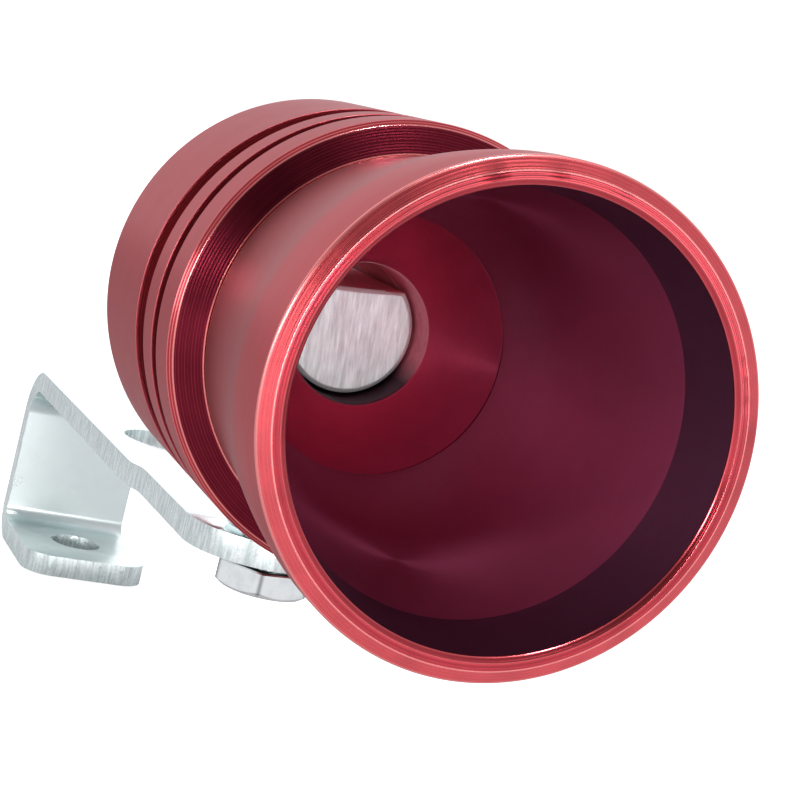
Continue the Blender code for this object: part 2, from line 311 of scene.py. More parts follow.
def satin_red(name, color, wear_and_painted_light, near_rim=None):
    """Anodised metal blasted to an even satin. near_rim is the warmer tone of the horn's first 9 mm."""
    paint = Paint(name, color, 0.42, 1.0, 0.4, 0.36, 1.5, 0.0, 0.34)
    grain = paint.noise(paint.position(), 5200.0, 2.0, 0.6)
    cloud = paint.noise(paint.position(), 140.0, 2.0)
    tint = paint.mix(paint.spread(cloud, 0.3, 0.7), color, tuple(c * 0.92 for c in color))
    if near_rim:
        split = paint.node("ShaderNodeSeparateXYZ", {0: paint.position()})
        tint = paint.mix(paint.spread(split.outputs[1], 7.5 * MM, 9.5 * MM), near_rim, tint)
    paint.color(paint.mix(paint.math("MULTIPLY", paint.edge_wear_and_painted_light(), 0.8), tint, wear_and_painted_light))
    paint.roughness(paint.spread(cloud, 0.3, 0.7, 0.46, 0.53))
    paint.bump(grain, 0.004 * MM, 0.5)
    return paint.mat


def bore_reflection_and_shade():
    """Red bore with a painted reflection of the bright block beside it, and painted shade along its
    lower side.
    """
    shade_full, shade_end = -4.2 * MM, -1.4 * MM
    paint = Paint("bore_painted_reflection_and_shade", (0.9, 0.33, 0.4), 0.6, 0.35)
    cloud = paint.noise(paint.position(), 700.0, 4.0, 0.6)
    # The dusty pink tones are a painted reflection of the bright block.
    tone = paint.mix(paint.spread(cloud, 0.3, 0.7), (1.0, 0.42, 0.5), (0.85, 0.3, 0.37))
    # Painted shade along the lower side: full 4.2 mm below the axis, gone 1.4 mm below it.
    unshaded = paint.spread(paint.height(), shade_full, shade_end)
    paint.color(paint.mix(unshaded, (0.05, 0.02, 0.035), tone))
    paint.bump(cloud, 0.02 * MM, 0.4)
    return paint.mat


def bare_aluminium():
    """Bare metal with upright brush marks, a few deeper scratches and a painted highlight on its bevel.
    """
    rough = 0.5
    paint = Paint("block_face", (0.78, 0.775, 0.78), rough, 0.55)
    brushed = paint.noise(paint.position(), 3600.0, 4.0, 0.65, (1.0, 1.0, 0.09))
    deep = paint.noise(paint.position(), 900.0, 2.0, 0.5, (1.0, 1.0, 0.35))
    stain = paint.noise(paint.position(), 420.0, 4.0, 0.6)
    tone = paint.mix(paint.spread(brushed, 0.35, 0.65), (0.93, 1.0, 0.99), (0.7, 0.76, 0.755))
    # The bevel gets a near-white painted highlight.
    tone = paint.mix(paint.math("MULTIPLY", paint.edge_wear_and_painted_light(), 0.7), tone, (0.98, 0.98, 0.98))
    paint.color(paint.mix(paint.spread(stain, 0.5, 0.8, 0.0, 0.35), tone, (0.66, 0.62, 0.625)))
    paint.roughness(paint.spread(brushed, 0.25, 0.75, rough * 0.75, rough * 1.35))
    paint.bump(brushed, 0.02 * MM, 0.7)
    paint.bump(deep, 0.03 * MM, 0.5)
    return paint.mat


def turned_aluminium():
    """Bare tube with fine marks round it and faint smudges."""
    paint = Paint("tube_aluminium", (0.8, 0.8, 0.81), 0.26, 1.0, aniso=0.4)
    along = paint.uv()[1]
    fine = paint.line_noise(along, 5200.0, 2.0)
    coarse = paint.line_noise(along, 900.0, 1.0)
    smudge = paint.noise(paint.position(), 180.0, 4.0)
    paint.color(paint.mix(paint.spread(smudge, 0.35, 0.75), (0.8, 0.8, 0.81), (0.72, 0.72, 0.735)))
    paint.roughness(paint.spread(fine, 0.25, 0.75, 0.2, 0.36))
    paint.bump(coarse, 0.012 * MM, 0.5)
    paint.bump(fine, 0.006 * MM, 0.8)
    return paint.mat


def zinc(name, rough=0.27, polished=0.2):
    """Bright zinc plate over rolled sheet: a faint blue-green cast, soft clouding and fine marks.

    rough is the roughness 3 mm below the strip's underside and lower, polished that 1 mm above it.
    """
    paint = Paint(name, (0.72, 0.8, 0.79), rough, 1.0)
    cloud = paint.noise(paint.position(), 150.0, 3.0, 0.5)
    rolled = paint.noise(paint.position(), 1500.0, 2.0, 0.5, (1.0, 0.05, 1.0))
    speck = paint.noise(paint.position(), 1900.0, 4.0, 0.6)
    tone = paint.mix(paint.spread(cloud, 0.35, 0.7), (0.85, 0.93, 0.925), (0.77, 0.85, 0.85))
    tone = paint.mix(paint.spread(speck, 0.66, 0.78, 0.0, 0.35), tone, (0.5, 0.54, 0.55))
    paint.color(paint.mix(paint.math("MULTIPLY", paint.edge_wear_and_painted_light(), 0.6), tone, (0.9, 0.92, 0.93)))
    dull = paint.spread(paint.height(), -3.0 * MM, 1.0 * MM, rough, polished)
    paint.roughness(paint.math("MULTIPLY", dull, paint.spread(cloud, 0.3, 0.7, 0.9, 1.15)))
    paint.bump(cloud, 0.02 * MM, 0.2)
    paint.bump(rolled, 0.004 * MM, 0.3)
    return paint.mat


def sheared_zinc():
    """The sheet's cut edge, with drag marks across it and torn patches."""
    paint = Paint("clip_cut_edge", (0.6, 0.64, 0.66), 0.3, 1.0)
    drag = paint.noise(paint.position(), 2600.0, 3.0, 0.6, (1.0, 1.0, 0.12))
    torn = paint.noise(paint.position(), 1500.0, 4.0, 0.7)
    tone = paint.mix(paint.spread(drag, 0.38, 0.62), (0.95, 1.0, 1.0), (0.66, 0.74, 0.735))
    paint.color(paint.mix(paint.spread(torn, 0.52, 0.75, 0.0, 0.5), tone, (0.5, 0.55, 0.56)))
    paint.roughness(paint.spread(torn, 0.3, 0.7, 0.22, 0.42))
    paint.bump(drag, 0.03 * MM, 0.7)
    paint.bump(torn, 0.025 * MM, 0.5)
    return paint.mat


def bright_steel():
    """Polished plate on the bolt, with a painted dark reflection on the head's corners."""
    paint = Paint("bolt_plate", (0.82, 0.84, 0.86), 0.14, 1.0)
    smudge = paint.noise(paint.position(), 500.0, 4.0, 0.6)
    fine = paint.noise(paint.position(), 2600.0, 2.0)
    tone = paint.mix(paint.spread(smudge, 0.45, 0.8), (0.97, 1.0, 1.0), (0.74, 0.77, 0.78))
    # Painted dark reflection along the head's corners.
    painted_dark_corner = paint.math("MULTIPLY", paint.edge_wear_and_painted_light(), 0.85)
    paint.color(paint.mix(painted_dark_corner, tone, (0.22, 0.23, 0.24)))
    paint.roughness(paint.spread(smudge, 0.3, 0.7, 0.09, 0.2))
    paint.bump(smudge, 0.012 * MM, 0.3)
    paint.bump(fine, 0.004 * MM, 0.5)
    return paint.mat


# ---------------------------------------------------------------- shapes

def rounded(corners, step=0.9 * MM):
    """Outline through (length, radius, fillet) corners, with arcs at the fillets.

    Returns (length, radius, edge) points: edge is 1 on a fillet and 0 away from it. Long straight
    runs get points of their own, and one close to each fillet keeps the shading flat.
    """
    count = len(corners)
    arcs = []
    for k, (y, r, fillet) in enumerate(corners):
        here = Vector((y, r))
        before = Vector(corners[k - 1][:2]) - here
        after = Vector(corners[(k + 1) % count][:2]) - here
        if fillet <= 0 or before.length < 1e-9 or after.length < 1e-9:
            arcs.append([here])
            continue
        half = before.angle(after, math.pi) / 2
        reach = min(fillet / max(math.tan(half), 0.05), before.length * 0.45, after.length * 0.45)
        a, b = here + before.normalized() * reach, here + after.normalized() * reach
        parts = (0, 0.2, 0.4, 0.6, 0.8, 1)
        arcs.append([a * (1 - t) ** 2 + here * 2 * t * (1 - t) + b * t * t for t in parts])
    points = []
    for k, arc in enumerate(arcs):
        on_fillet = 1.0 if len(arc) > 1 else 0.0
        points += [(p.x, p.y, on_fillet) for p in arc]
        start, end = arc[-1], arcs[(k + 1) % count][0]
        run = (end - start).length
        near = min(0.08 * MM, run * 0.2)
        inner = max(1, int(run / step))
        if run > 0.05 * MM:
            for j in range(inner + 1):
                p = start.lerp(end, (near + (run - 2 * near) * j / inner) / run)
                points.append((p.x, p.y, 0.0))
    return points


def finish_piece(name, bm, mats, matrix, smooth_angle=35):
    """Turn a bmesh into a scene object, smooth up to an angle in degrees."""
    mesh = bpy.data.meshes.new(name)
    bm.to_mesh(mesh)
    bm.free()
    mesh.shade_smooth()
    mesh.set_sharp_from_angle(angle=math.radians(smooth_angle))
    obj = bpy.data.objects.new(name, mesh)
    for mat in mats:
        mesh.materials.append(mat)
    bpy.context.scene.collection.objects.link(obj)
    obj.matrix_world = matrix
    return obj


def lathe(outline, zone=None, sides=ROUND, closed=True, wobble=None):
    """Spin (length, radius, edge) points about Y. zone(length, radius) picks each face's material."""
    bm = bmesh.new()
    uv = bm.loops.layers.uv.new("turned")
    edge = bm.verts.layers.float.new("edge")
    along = [0.0]
    for (y0, r0, _), (y1, r1, _) in zip(outline, outline[1:] + outline[:1]):
        along.append(along[-1] + math.hypot(y1 - y0, r1 - r0))
    rings = []
    for y, r, on_edge in outline:
        ring = []
        for k in range(sides):
            angle = 2 * math.pi * k / sides
            dy, dr = wobble(y, r, angle) if wobble else (0.0, 0.0)
            vert = bm.verts.new(((r + dr) * math.cos(angle), y + dy, (r + dr) * math.sin(angle)))
            vert[edge] = on_edge
            ring.append(vert)
        rings.append(ring)
    last = len(rings) if closed else len(rings) - 1
    for j in range(last):
        first, second = rings[j], rings[(j + 1) % len(rings)]
        y = (outline[j][0] + outline[(j + 1) % len(rings)][0]) / 2
        r = (outline[j][1] + outline[(j + 1) % len(rings)][1]) / 2
        index = zone(y, r) if zone else 0
        for k in range(sides):
            after = (k + 1) % sides
            face = bm.faces.new((first[k], first[after], second[after], second[k]))
            face.material_index = index
            corners = ((k, j), (k + 1, j), (k + 1, j + 1), (k, j + 1))
            for loop, (u, v) in zip(face.loops, corners):
                loop[uv].uv = (u / sides, along[v])
    if not closed:
        for ring, index in ((rings[0], 0), (list(reversed(rings[-1])), len(rings) - 1)):
            face = bm.faces.new(ring)
            face.material_index = zone(outline[index][0], 0.0) if zone else 0
    bmesh.ops.recalc_face_normals(bm, faces=bm.faces)
    return bm


def upright(bm):
    """Stand a piece that was spun about Y on end, so that its length points down."""
    for vert in bm.verts:
        x, y, z = vert.co
        vert.co = (x, z, -y)
    return bm


def prism(points, half_width):
    """A side view of (length, height) points, drawn out to both sides."""
    bm = bmesh.new()
    sides = []
    for x in (-half_width, half_width):
        sides.append([bm.verts.new((x, y, z)) for y, z in points])
    for k in range(len(points)):
        after = (k + 1) % len(points)
        bm.faces.new((sides[0][k], sides[0][after], sides[1][after], sides[1][k]))
    bm.faces.new(sides[0])
    bm.faces.new(list(reversed(sides[1])))
    bmesh.ops.recalc_face_normals(bm, faces=bm.faces)
    return bm


def apply_modifiers(obj):
    evaluated = obj.evaluated_get(bpy.context.evaluated_depsgraph_get())
    mesh = bpy.data.meshes.new_from_object(evaluated)
    obj.modifiers.clear()
    obj.data = mesh


def carve(obj, cutter):
    """Cut a throw-away piece out of another."""
    modifier = obj.modifiers.new("carve", "BOOLEAN")
    modifier.operation = "DIFFERENCE"
    modifier.solver = "EXACT"
    modifier.object = cutter
    apply_modifiers(obj)
    bpy.data.objects.remove(cutter)


def soften(obj, width, angle, segments):
    """Round the edges that are sharper than an angle in degrees."""
    modifier = obj.modifiers.new("soften", "BEVEL")
    modifier.width = width
    modifier.segments = segments
    modifier.limit_method = "ANGLE"
    modifier.angle_limit = math.radians(angle)
    modifier.harden_normals = False
    apply_modifiers(obj)
    obj.data.shade_smooth()
    obj.data.set_sharp_from_angle(angle=math.radians(35))


def place(obj, body, node):
    """Tie a piece to its body and hide the CAD node that it replaces."""
    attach(obj, body)
    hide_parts(node)


# ---------------------------------------------------------------- whistle

# Lighter red, taken by fillets as wear and by ring crests as a painted highlight.
WEAR_AND_HIGHLIGHT_RED = (1.0, 0.34, 0.33)

RIM_OUTER = turned_red("rim_outer", (0.9, 0.105, 0.125), WEAR_AND_HIGHLIGHT_RED, 0.26, 0.006 * MM, shine=0.2)
RIM_INNER = turned_red("rim_inner", (0.54, 0.035, 0.055), (0.9, 0.2, 0.2), 0.17, 0.01 * MM,
                       shine=0.2, edge_wear=0.4, grain=0.25)
EDGE_TURNED = turned_red("edge_turned", (0.55, 0.035, 0.05), WEAR_AND_HIGHLIGHT_RED, 0.18, 0.008 * MM, shine=0.8)
# The barrel's front face: its dark base colour is partly the deep red anodise and partly painted shade
# and a painted dark reflection.
FACE_PAINTED_SHADE = turned_red("face_turned_painted_shade", (0.15, 0.011, 0.024), (0.6, 0.06, 0.08), 0.2, 0.005 * MM,
                         coat=0.0, shine=0.3, edge_wear=0.5, grain=0.1)
GROOVE = turned_red("groove_turned", (0.36, 0.045, 0.06), (0.4, 0.03, 0.05), 0.34, 0.004 * MM)
INSIDE = turned_red("inside_turned", (0.45, 0.09, 0.195), (0.6, 0.12, 0.25), 0.48, 0.002 * MM,
                    pitch=0.28 * MM, coat=0.12, shine=0.12, edge_wear=0.0, blotch=0.95)
INSIDE_BAND = turned_red("inside_band", (0.19, 0.075, 0.145), (0.35, 0.1, 0.2), 0.44, 0.002 * MM,
                         pitch=0.2 * MM, coat=0.12, edge_wear=0.0, blotch=0.95)
CONE_FLOOR = turned_red("floor_turned", (0.56, 0.1, 0.18), (0.7, 0.1, 0.18), 0.48, 0.002 * MM,
                        coat=0.1, edge_wear=0.0, blotch=0.9)
BORE_REFLECTION_AND_SHADE = bore_reflection_and_shade()
BARREL_SATIN = satin_red("barrel_satin", (0.58, 0.1, 0.115), (0.8, 0.17, 0.18))
HORN_SATIN = satin_red("horn_satin", (0.54, 0.155, 0.165), (0.8, 0.17, 0.18), (0.6, 0.1, 0.115))


def rim_nicks():
    """Small dents on the ridge of the rim, as (angle, width, depth)."""
    draw = random.Random(7)
    dents = [(math.radians(112), 0.03, 0.16 * MM), (math.radians(97), 0.02, 0.12 * MM)]
    for _ in range(9):
        angle, width = draw.uniform(0, 2 * math.pi), draw.uniform(0.006, 0.02)
        dents.append((angle, width, draw.uniform(0.03, 0.09) * MM))
    return dents


def make_horn():
    """Thin flared horn: the rim's two bevels, the satin outside and the turned inside."""
    dents = rim_nicks()
    outer_bevel, inner_bevel, satin, inside, band = range(5)

    def wobble(y, r, angle):
        if y > 0.5 * MM or r < MOUTH_R - 0.1 * MM:
            return 0.0, 0.0
        closeness = max(0.0, 1 - abs(r - RIDGE_R) / (0.7 * MM))
        push = 0.0
        for where, width, depth in dents:
            away = (angle - where + math.pi) % (2 * math.pi) - math.pi
            push += depth * math.exp(-(away / width) ** 2)
        return closeness * push, -0.35 * closeness * push

    def zone(y, r):
        if y < 0.45 * MM and r > MOUTH_R - 0.12 * MM:
            return outer_bevel if r > RIDGE_R - 0.1 * MM else inner_bevel
        wall = MOUTH_R - (MOUTH_R - THROAT_R) * y / SPIGOT_END
        if y < NECK_Y + 0.05 * MM and r > wall + 1.0 * MM:
            return satin
        return band if y < BAND_END[0] else inside

    flare = []
    steps = 40
    for k in range(steps + 1):
        part = k / steps
        ease = 0.75 * (3 * part ** 2 - 2 * part ** 3) + 0.25 * part
        length = FLARE_START + part * (NECK_Y - FLARE_START)
        flare.append((length, RIM_R - (RIM_R - NECK_R) * ease, 0.0))
    corners = [
        (-0.1 * MM, MOUTH_R, 0.12 * MM),
        (-RIDGE_HEIGHT, INNER_BEVEL_R, 0.1 * MM),
        (-RIDGE_HEIGHT, RIDGE_R, 0.16 * MM),
        (0.1 * MM, RIM_R, 0.25 * MM),
        *flare[:-1],
        (NECK_Y, NECK_R, 0.1 * MM),
        (NECK_Y, SPIGOT_R, 0.1 * MM),
        (SPIGOT_END, SPIGOT_R, 0.2 * MM),
        (SPIGOT_END, THROAT_R, 0.15 * MM),
        (*BAND_END, 0.15 * MM),
    ]
    finishes = [RIM_OUTER, RIM_INNER, HORN_SATIN, INSIDE, INSIDE_BAND]
    horn = finish_piece("horn", lathe(rounded(corners), zone, wobble=wobble), finishes, WHISTLE)
    place(horn, "whistle", "horn_bell")


def make_barrel():
    """Thick turned barrel with its grooves, the conical floor, the bore and the bolt's flat seat."""
    front = NECK_Y + GAP
    socket = SPIGOT_R + GAP
    floor = SPIGOT_END + GAP
    floor_r = BORE_R + (BORE_MOUTH - floor)
    bottom = BARREL_R - GROOVE_DEPTH
    plain, land, cone, bore, turned_edge, groove = range(6)

    def zone(y, r):
        near_front, near_back = y < front + 3.0 * MM, y > BARREL_END - 1.0 * MM
        if r > BARREL_R - 0.04 * MM:
            return land
        if r > BARREL_R - BARREL_CHAMFER - 0.1 * MM and (near_front or near_back):
            return turned_edge
        if y < front + 0.2 * MM and r < NECK_R + 0.22 * MM:
            return turned_edge
        if r > bottom - 0.05 * MM and y > front + 3.0 * MM and y < BARREL_END - 1.0 * MM:
            return groove
        if y > floor - 0.05 * MM and r < floor_r + 0.05 * MM and y < BORE_MOUTH:
            return cone
        if r < BORE_R + 0.1 * MM:
            return bore
        return plain

    corners = [
        (front, socket, 0.1 * MM),
        (front, NECK_R + 0.05 * MM, 0.2 * MM),
        (front + FACE_DEPTH, BARREL_R - BARREL_CHAMFER, 0.12 * MM),
        (front + FACE_DEPTH + BARREL_CHAMFER, BARREL_R, 0.1 * MM),
    ]
    for start, end in GROOVES:
        corners += [(start, BARREL_R, 0.1 * MM), (start, bottom, 0.15 * MM)]
        corners += [(end, bottom, 0.15 * MM), (end, BARREL_R, 0.1 * MM)]
    recess_in, recess_out = BACK_RECESS
    recess = BARREL_END - BACK_RECESS_DEPTH
    corners += [
        (BARREL_END - BARREL_CHAMFER, BARREL_R, 0.1 * MM),
        (BARREL_END, BARREL_R - BARREL_CHAMFER, 0.1 * MM),
        (BARREL_END, recess_out, 0.15 * MM),
        (recess, recess_out, 0.2 * MM),
        (recess, recess_in, 0.2 * MM),
        (BARREL_END, recess_in, 0.15 * MM),
        (BARREL_END, TUBE_R + GAP, 0.1 * MM),
        (TUBE_START - GAP, TUBE_R + GAP, 0.0),
        (TUBE_START - GAP, BORE_R, 0.1 * MM),
        (BORE_MOUTH, BORE_R, BORE_LIP),
        (floor, floor_r, 0.1 * MM),
        (floor, socket, 0.1 * MM),
    ]
    # The bore's material holds a painted reflection of the block and painted shade along its lower
    # side.
    finishes = [FACE_PAINTED_SHADE, BARREL_SATIN, CONE_FLOOR, BORE_REFLECTION_AND_SHADE, EDGE_TURNED, GROOVE]
    body = finish_piece("barrel_body", lathe(rounded(corners), zone), finishes, WHISTLE)
    below = BARREL_R + 1.0 * MM
    for depth, radius in ((SEAT_DEPTH, SEAT_R), (12.0 * MM, SHANK_R + GAP)):
        points = [(depth, radius, 0.0), (below, radius, 0.0)]
        hole = upright(lathe(points, sides=64, closed=False))
        carve(body, finish_piece("cutter", hole, [], ON_BOLT))
    body.data.shade_smooth()
    body.data.set_sharp_from_angle(angle=math.radians(35))
    place(body, "whistle", "barrel")


def make_tube():
    """Whistle tube with its sound window on top."""
    corners = [(TUBE_START, BORE_R, 0.1 * MM), (TUBE_START, TUBE_R, 0.3 * MM)]
    corners += [(TUBE_END, TUBE_R, 0.25 * MM), (TUBE_END, BORE_R, 0.1 * MM)]

    def zone(y, r):
        return 1 if r < BORE_R + 0.05 * MM else 0

    # The tube's inside takes the bore's material: a painted reflection of the red bore, with painted
    # shade along its lower half.
    tube = finish_piece("whistle_tube", lathe(rounded(corners, 2.0 * MM), zone, ROUND_SMALL),
                        [turned_aluminium(), BORE_REFLECTION_AND_SHADE], WHISTLE)
    above = TUBE_R + 2.0 * MM
    window = [(BLOCK_END, 0.0), (WINDOW_END, 0.0), (WINDOW_END, BORE_R + 0.1 * MM)]
    window += [(WINDOW_RAMP_END, TUBE_R), (WINDOW_RAMP_END, above), (BLOCK_END, above)]
    carve(tube, finish_piece("cutter", prism(window, WINDOW_HALF_WIDTH), [], WHISTLE))
    tube.data.shade_smooth()
    tube.data.set_sharp_from_angle(angle=math.radians(30))
    place(tube, "whistle", "resonator_tube")


def make_block():
    """The fipple block: a D-shaped plug with a narrow bevel round its front face."""
    bm = bmesh.new()
    edge = bm.verts.layers.float.new("edge")
    outline = []
    flat_half = math.acos(BLOCK_FLAT / BLOCK_R)
    arc_steps = 84
    for k in range(arc_steps + 1):
        angle = math.pi / 2 + flat_half + (2 * math.pi - 2 * flat_half) * k / arc_steps
        outline.append(Vector((BLOCK_R * math.cos(angle), BLOCK_R * math.sin(angle))))
    right, left = outline[-1], outline[0]
    flat_steps = 16
    for k in range(1, flat_steps):
        outline.append(right.lerp(left, k / flat_steps))
    centre = Vector((0.0, -0.6 * MM))

    def loop(inset, y):
        ring = []
        for p in outline:
            inward = centre - p
            q = p + inward.normalized() * inset
            ring.append(bm.verts.new((q.x, y, q.y)))
        return ring

    bevel = 0.45 * MM
    rings = [
        loop(0.0, BLOCK_END),
        loop(0.0, BLOCK_START + bevel + 0.1 * MM),
        loop(0.0, BLOCK_START + bevel),
        loop(0.1 * MM, BLOCK_START + bevel * 0.62),
        loop(bevel * 0.8, BLOCK_START + 0.08 * MM),
        loop(bevel, BLOCK_START),
        loop(bevel + 0.1 * MM, BLOCK_START),
    ]
    # These rings mark the bevel for its painted highlight.
    for ring in rings[2:6]:
        for vert in ring:
            vert[edge] = 1.0
    count = len(outline)
    for first, second in zip(rings, rings[1:]):
        for k in range(count):
            after = (k + 1) % count
            bm.faces.new((first[k], first[after], second[after], second[k]))
    bm.faces.new(rings[0])
    bm.faces.new(list(reversed(rings[-1])))
    bmesh.ops.recalc_face_normals(bm, faces=bm.faces)
    roll = WHISTLE @ Matrix.Rotation(BLOCK_ROLL, 4, "Y")
    # The top flat takes the bore's material: a painted reflection of the red bore above it.
    for face in bm.faces:
        face.material_index = 1 if face.normal.z > 0.9 else 0
    block = finish_piece("fipple", bm, [bare_aluminium(), BORE_REFLECTION_AND_SHADE], roll, 50)
    place(block, "whistle", "fipple_block")


def make_cap():
    """Cap with a plug inside the tube and a shallow dish in its end."""
    on_axis = 0.01 * MM
    inside = TUBE_END - CAP_PLUG
    rim = TUBE_END + GAP
    end = rim + CAP_THICK
    dish_r, dish_edge_r = CAP_RING
    corners = [
        (inside, on_axis, 0.0),
        (inside, BORE_R - GAP, 0.2 * MM),
        (rim, BORE_R - GAP, 0.0),
        (rim, CAP_R, 0.15 * MM),
        (end, CAP_R, 0.45 * MM),
        (end, dish_edge_r, 0.12 * MM),
        (end - CAP_DISH, dish_r, 0.2 * MM),
        (end - CAP_DISH, on_axis, 0.0),
    ]
    outline = rounded(corners, 1.4 * MM)
    cap = finish_piece("tube_cap", lathe(outline, sides=ROUND_SMALL), [EDGE_TURNED], WHISTLE)
    place(cap, "whistle", "end_cap")


# ---------------------------------------------------------------- clip, washers, bolt

ZINC = zinc("clip_zinc", 0.3, 0.12)
WASHER_ZINC = zinc("washer_zinc", 0.2)
BOLT_STEEL = bright_steel()


def clip_path():
    """Middle line of the sheet as (length, height, angle), as fine as the bends need."""
    half = STRIP_THICK / 2
    crank_start, crank_end, drop = CRANK
    path = []
    round_end = 22
    for k in range(round_end + 1):
        length = STRIP_FRONT + FRONT_CORNER * (1 - math.cos(math.pi / 2 * k / round_end))
        path.append((length, half + drop, 0.0))
    slope = math.atan2(drop, crank_end - crank_start)
    crank_steps = 8
    for k in range(crank_steps + 1):
        part = k / crank_steps
        ease = part * part * (3 - 2 * part)
        angle = -slope * 6 * part * (1 - part)
        length = crank_start + (crank_end - crank_start) * part
        path.append((length, half + drop * (1 - ease), angle / 4))
    bends = ((TOP_BEND, -TOP_BEND, 0.0, 20), (LOW_BEND, LOW_BEND - CLIP_THROAT, math.pi / 2, 16))
    for inner, centre_height, first_angle, steps in bends:
        radius = inner + half
        centre = WEB_BACK - STRIP_THICK - inner
        for k in range(steps + 1):
            angle = first_angle + math.pi / 2 * k / steps
            height = centre_height + radius * math.cos(angle)
            path.append((centre + radius * math.sin(angle), height, -angle))
    for k in range(round_end, -1, -1):
        length = FLANGE_FRONT + FLANGE_CORNER * (1 - math.cos(math.pi / 2 * k / round_end))
        path.append((length, -CLIP_THROAT - half, -math.pi))
    return path


def clip_half_width(length, height):
    """Half the sheet's width, which narrows over the round ends of strip and flange."""
    full = STRIP_WIDTH / 2
    on_strip = height > -CLIP_THROAT / 2
    corner = FRONT_CORNER if on_strip else FLANGE_CORNER
    inset = corner - (length - (STRIP_FRONT if on_strip else FLANGE_FRONT))
    if inset <= 0:
        return full
    return full - corner + math.sqrt(max(corner ** 2 - inset ** 2, 0.0))


def is_cut(face):
    """True on the sheared faces: the long edges, the two ends and the walls of the holes."""
    before_web = face.center.y < WEB_BACK - STRIP_THICK - TOP_BEND
    return abs(face.normal.x) > 0.93 or (before_web and abs(face.normal.z) < 0.3)


def make_clip():
    """Bent sheet, drawn along its middle line, with three holes."""
    bm = bmesh.new()
    half = STRIP_THICK / 2
    loops = []
    for length, height, angle in clip_path():
        across = clip_half_width(length, height)
        up = (-math.sin(angle) * half, math.cos(angle) * half)
        loop = []
        for side, face in ((-1, 1), (1, 1), (1, -1), (-1, -1)):
            loop.append(bm.verts.new((side * across, length + face * up[0], height + face * up[1])))
        loops.append(loop)
    for first, second in zip(loops, loops[1:]):
        for k in range(4):
            after = (k + 1) % 4
            bm.faces.new((first[k], first[after], second[after], second[k]))
    bm.faces.new(list(reversed(loops[0])))
    bm.faces.new(loops[-1])
    bmesh.ops.recalc_face_normals(bm, faces=bm.faces)
    clip = finish_piece("clip", bm, [ZINC, sheared_zinc()], CLIP)
    reach = 3.0 * MM
    for (length, radius), height in ((BOLT_HOLE, 0.0), (STRIP_HOLE, 0.0), (FLANGE_HOLE, -CLIP_THROAT)):
        through = STRIP_THICK + reach
        points = [(-height - through, radius, 0.0), (-height + through, radius, 0.0)]
        hole = upright(lathe(points, sides=72, closed=False))
        carve(clip, finish_piece("cutter", hole, [], CLIP @ Matrix.Translation((0.0, length, 0.0))))
    soften(clip, 0.28 * MM, 50, 4)
    for face in clip.data.polygons:
        face.material_index = 1 if is_cut(face) else 0
    place(clip, "clip", "clip_bracket")


def make_flat_washer():
    low = WASHER_TOP + FLAT_WASHER_THICK
    hole = SHANK_R + GAP
    corners = [(WASHER_TOP, hole, 0.1 * MM), (WASHER_TOP, FLAT_WASHER_R, 0.3 * MM)]
    corners += [(low, FLAT_WASHER_R, 0.15 * MM), (low, hole, 0.1 * MM)]
    ring = upright(lathe(rounded(corners), sides=96))
    washer = finish_piece("washer_flat", ring, [WASHER_ZINC], ON_BOLT)
    place(washer, "whistle", "flat_washer")


def make_spring_washer():
    """One turn of square wire, nearly flat, with a slanted gap between its ends."""
    bm = bmesh.new()
    inner, outer = SHANK_R + GAP, SPRING_WASHER_R
    thick = SPRING_WASHER_THICK * 0.8
    lift = SPRING_WASHER_THICK - thick
    corner = 0.18 * MM
    skew = math.radians(5)
    first_end, turn = 96, 348
    steps = 88
    rings = []
    for k in range(steps + 1):
        part = k / steps
        angle = math.radians(first_end + turn * part)
        top = -SPRING_TOP - lift * part
        low = top - thick
        section = [(inner + corner, top), (outer - corner, top)]
        section += [(outer, top - corner), (outer, low + corner)]
        section += [(outer - corner, low), (inner + corner, low)]
        section += [(inner, low + corner), (inner, top - corner)]
        ring = []
        for r, z in section:
            a = angle + skew * ((top + low) / 2 - z) / thick
            ring.append(bm.verts.new((r * math.cos(a), r * math.sin(a), z)))
        rings.append(ring)
    for first, second in zip(rings, rings[1:]):
        for k in range(len(first)):
            after = (k + 1) % len(first)
            bm.faces.new((first[k], first[after], second[after], second[k]))
    bm.faces.new(rings[0])
    bm.faces.new(list(reversed(rings[-1])))
    bmesh.ops.recalc_face_normals(bm, faces=bm.faces)
    washer = finish_piece("washer_spring", bm, [WASHER_ZINC], Matrix.Translation(SWIVEL))
    place(washer, "clip", "spring_washer")


def hex_radius(angle):
    """Radius of the hexagon at an angle, with its corners blunted a little."""
    half_flat = math.pi / 6
    sector = (angle + half_flat) % (2 * half_flat) - half_flat
    flat = HEX_ACROSS / 2 / math.cos(half_flat - abs(sector))
    corner = HEX_ACROSS / 2 / math.cos(half_flat)
    return min(flat, corner - 0.09 * MM)


